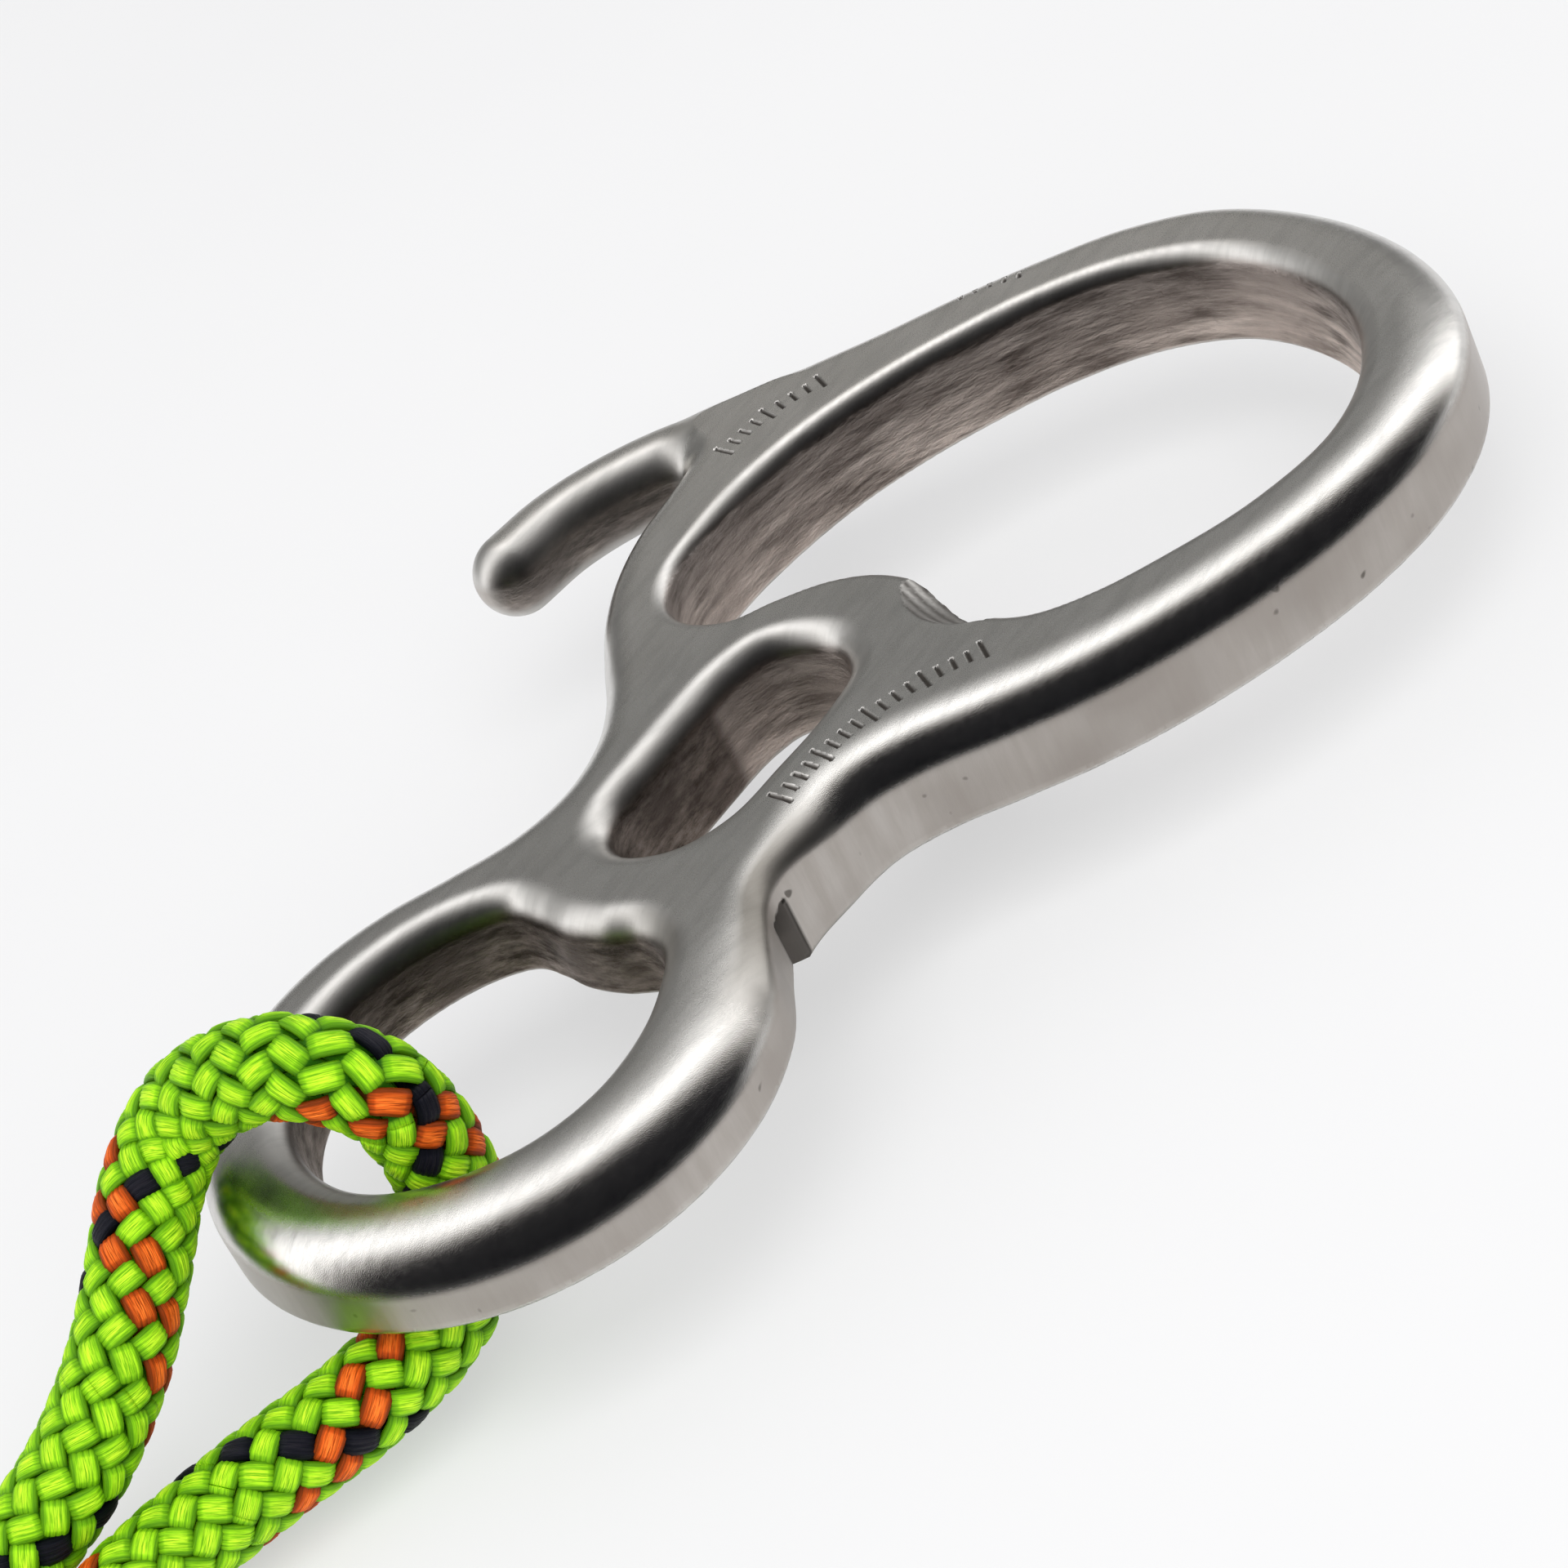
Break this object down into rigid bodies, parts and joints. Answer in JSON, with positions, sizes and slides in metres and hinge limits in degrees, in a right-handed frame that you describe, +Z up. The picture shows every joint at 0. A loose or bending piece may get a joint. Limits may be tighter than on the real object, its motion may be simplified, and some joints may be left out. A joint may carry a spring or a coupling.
{
  "type": "rope descender",
  "caption": "Asymmetric stainless rescue descender with a small eye, middle slot, big ring and horn, and a doubled kernmantle rope through the small eye.",
  "frame": {"origin": "on the plate's flat underside, in the web beside the middle slot, 60 mm from the small eye's centre towards the big ring and 13 mm away from the horn side", "axes": "+X from the small eye to the big ring, +Y towards the side with the horn, +Z up through the plate"},
  "size_m": [0.242, 0.1191, 0.0434],
  "materials": {
    "stainless_steel": "satin flats with polished rounded edges",
    "rope_sheath": "braided lime green with orange and dark tracers",
    "rope_core": "undyed core strands"
  },
  "bodies": {
    "descender": {"descender_body": "stainless_steel"},
    "rope_bight": {"bight_sheath": "rope_sheath", "bight_core_strand_1": "rope_core", "bight_core_strand_2": "rope_core", "bight_core_strand_3": "rope_core"},
    "rope_over_leg": {"over_leg_sheath": "rope_sheath", "over_leg_core_strand_1": "rope_core", "over_leg_core_strand_2": "rope_core", "over_leg_core_strand_3": "rope_core"},
    "rope_over_leg_end": {"over_leg_end_sheath": "rope_sheath", "over_leg_end_core_strand_1": "rope_core", "over_leg_end_core_strand_2": "rope_core", "over_leg_end_core_strand_3": "rope_core"},
    "rope_under_leg": {"under_leg_sheath": "rope_sheath", "under_leg_core_strand_1": "rope_core", "under_leg_core_strand_2": "rope_core", "under_leg_core_strand_3": "rope_core"},
    "rope_under_leg_end": {"under_leg_end_sheath": "rope_sheath", "under_leg_end_core_strand_1": "rope_core", "under_leg_end_core_strand_2": "rope_core", "under_leg_end_core_strand_3": "rope_core"}
  },
  "joints": [
    {"name": "rope_swing_on_ring", "type": "hinge", "parent": "descender", "child": "rope_bight", "pos_m": [-0.08327, 0.01834, 0.00875], "axis": [-0.2251, -0.9743, 0], "range_deg": [-9, 9], "stiffness_Nm_per_rad": 0.05},
    {"name": "over_leg_flex", "type": "hinge", "parent": "rope_bight", "child": "rope_over_leg", "pos_m": [-0.09666, 0.0304, 0.01221], "axis": [-0.284, 0.9588, 0], "range_deg": [-15, 15], "stiffness_Nm_per_rad": 0.05},
    {"name": "over_leg_end_flex", "type": "hinge", "parent": "rope_over_leg", "child": "rope_over_leg_end", "pos_m": [-0.12125, 0.02986, -0.00018], "axis": [0.283, 0.9591, 0], "range_deg": [-15, 15], "stiffness_Nm_per_rad": 0.05},
    {"name": "under_leg_flex", "type": "hinge", "parent": "rope_bight", "child": "rope_under_leg", "pos_m": [-0.09713, 0.01152, -0.00586], "axis": [0.3829, 0.9238, 0], "range_deg": [-15, 1], "stiffness_Nm_per_rad": 0.05},
    {"name": "under_leg_end_flex", "type": "hinge", "parent": "rope_under_leg", "child": "rope_under_leg_end", "pos_m": [-0.12165, 0.02029, -0.00706], "axis": [0.153, 0.9882, 0], "range_deg": [-15, 1], "stiffness_Nm_per_rad": 0.05}
  ]
}
